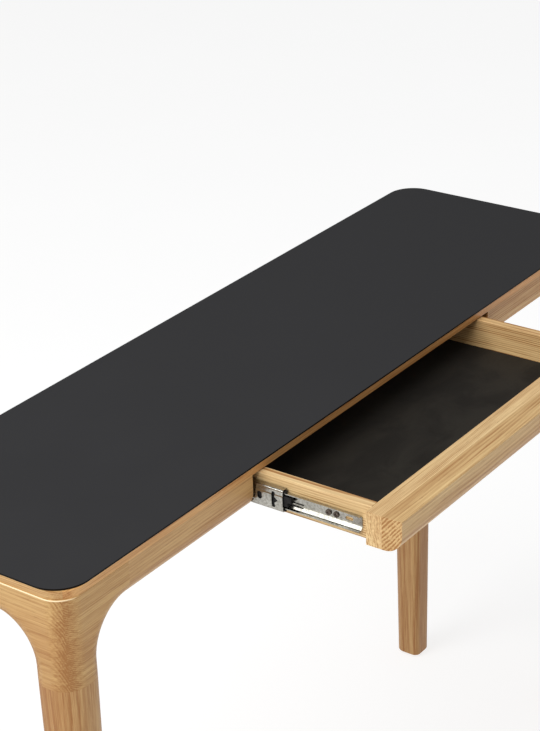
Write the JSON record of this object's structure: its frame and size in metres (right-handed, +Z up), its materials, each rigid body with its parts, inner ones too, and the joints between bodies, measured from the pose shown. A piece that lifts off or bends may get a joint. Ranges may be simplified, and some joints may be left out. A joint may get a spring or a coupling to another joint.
{
  "type": "console table",
  "caption": "Slim oak console table with a matt black top, sculpted tapering legs and a shallow drawer pulled open on ball-bearing slides.",
  "frame": {"origin": "On the floor, under the middle of the whole object as it stands with the drawer open (X and Y of the overall box).", "axes": "+X runs along the table to its right end, +Y points to the back and -Y to the drawer side, +Z is up."},
  "size_m": [1.1, 0.494, 0.76],
  "materials": {
    "linoleum": "deep matt",
    "top_core": "sawn, hidden",
    "oak_edging": "matt lacquer",
    "oak_frame": "matt lacquer",
    "oak_rail": "planed",
    "oak_drawer": "matt lacquer",
    "hardboard": "smooth",
    "liner": "matt",
    "dowel_beech": "plain",
    "zinc_steel": "bright zinc plate",
    "cage_black": "matt",
    "ball_steel": "polished",
    "screw_dark": "black zinc",
    "screw_zinc": "zinc",
    "glide_plastic": "matt"
  },
  "bodies": {
    "frame": {"apron_back": "oak_frame", "apron_front_left": "oak_frame", "apron_front_right": "oak_frame", "apron_left": "oak_frame", "apron_right": "oak_frame", "drawer_rail_left": "oak_rail", "drawer_rail_right": "oak_rail", "edging_back": "oak_edging", "edging_front": "oak_edging", "edging_left": "oak_edging", "edging_right": "oak_edging", "foot_glides": "glide_plastic", "knee_dowels": "dowel_beech", "knee_end_back_left": "oak_frame", "knee_end_back_right": "oak_frame", "knee_end_front_left": "oak_frame", "knee_end_front_right": "oak_frame", "knee_long_back_left": "oak_frame", "knee_long_back_right": "oak_frame", "knee_long_front_left": "oak_frame", "knee_long_front_right": "oak_frame", "leg_back_left": "oak_frame", "leg_back_right": "oak_frame", "leg_dowels": "dowel_beech", "leg_front_left": "oak_frame", "leg_front_right": "oak_frame", "rail_dowels": "dowel_beech", "slide_outer_left": "zinc_steel", "slide_outer_right": "zinc_steel", "slide_screws_rail": "screw_zinc", "top_panel": "top_core", "top_sheet": "linoleum"},
    "drawer": {"bottom_screws": "screw_zinc", "drawer_back": "oak_drawer", "drawer_bottom": "hardboard", "drawer_dowels": "dowel_beech", "drawer_front_inner": "oak_drawer", "drawer_front_outer": "oak_drawer", "drawer_liner": "liner", "drawer_side_left": "oak_drawer", "drawer_side_right": "oak_drawer", "front_screws": "screw_zinc", "slide_inner_left": "zinc_steel", "slide_inner_right": "zinc_steel", "slide_screws_drawer": "screw_dark"},
    "left_middle": {"slide_middle_left": "zinc_steel"},
    "left_inner_cage": {"cage_inner_left": "cage_black", "balls_inner_left": "ball_steel"},
    "left_outer_cage": {"cage_outer_left": "cage_black", "balls_outer_left": "ball_steel"},
    "right_middle": {"slide_middle_right": "zinc_steel"},
    "right_inner_cage": {"cage_inner_right": "cage_black", "balls_inner_right": "ball_steel"},
    "right_outer_cage": {"cage_outer_right": "cage_black", "balls_outer_right": "ball_steel"}
  },
  "joints": [
    {"name": "drawer_slide", "type": "slide", "parent": "frame", "child": "drawer", "axis": [0, -1, 0], "range_m": [-0.184, 0.03]},
    {"name": "left_middle_slide", "type": "slide", "parent": "frame", "child": "left_middle", "axis": [0, -1, 0], "range_m": [-0.092, 0.015]},
    {"name": "left_inner_cage_slide", "type": "slide", "parent": "frame", "child": "left_inner_cage", "axis": [0, -1, 0], "range_m": [-0.138, 0.0225]},
    {"name": "left_outer_cage_slide", "type": "slide", "parent": "frame", "child": "left_outer_cage", "axis": [0, -1, 0], "range_m": [-0.046, 0.0075]},
    {"name": "right_middle_slide", "type": "slide", "parent": "frame", "child": "right_middle", "axis": [0, -1, 0], "range_m": [-0.092, 0.015]},
    {"name": "right_inner_cage_slide", "type": "slide", "parent": "frame", "child": "right_inner_cage", "axis": [0, -1, 0], "range_m": [-0.138, 0.0225]},
    {"name": "right_outer_cage_slide", "type": "slide", "parent": "frame", "child": "right_outer_cage", "axis": [0, -1, 0], "range_m": [-0.046, 0.0075]}
  ],
  "couplings": [
    {"joint": "left_middle_slide", "follows": "drawer_slide", "ratio": 0.5},
    {"joint": "left_inner_cage_slide", "follows": "drawer_slide", "ratio": 0.75},
    {"joint": "left_outer_cage_slide", "follows": "drawer_slide", "ratio": 0.25},
    {"joint": "right_middle_slide", "follows": "drawer_slide", "ratio": 0.5},
    {"joint": "right_inner_cage_slide", "follows": "drawer_slide", "ratio": 0.75},
    {"joint": "right_outer_cage_slide", "follows": "drawer_slide", "ratio": 0.25}
  ]
}
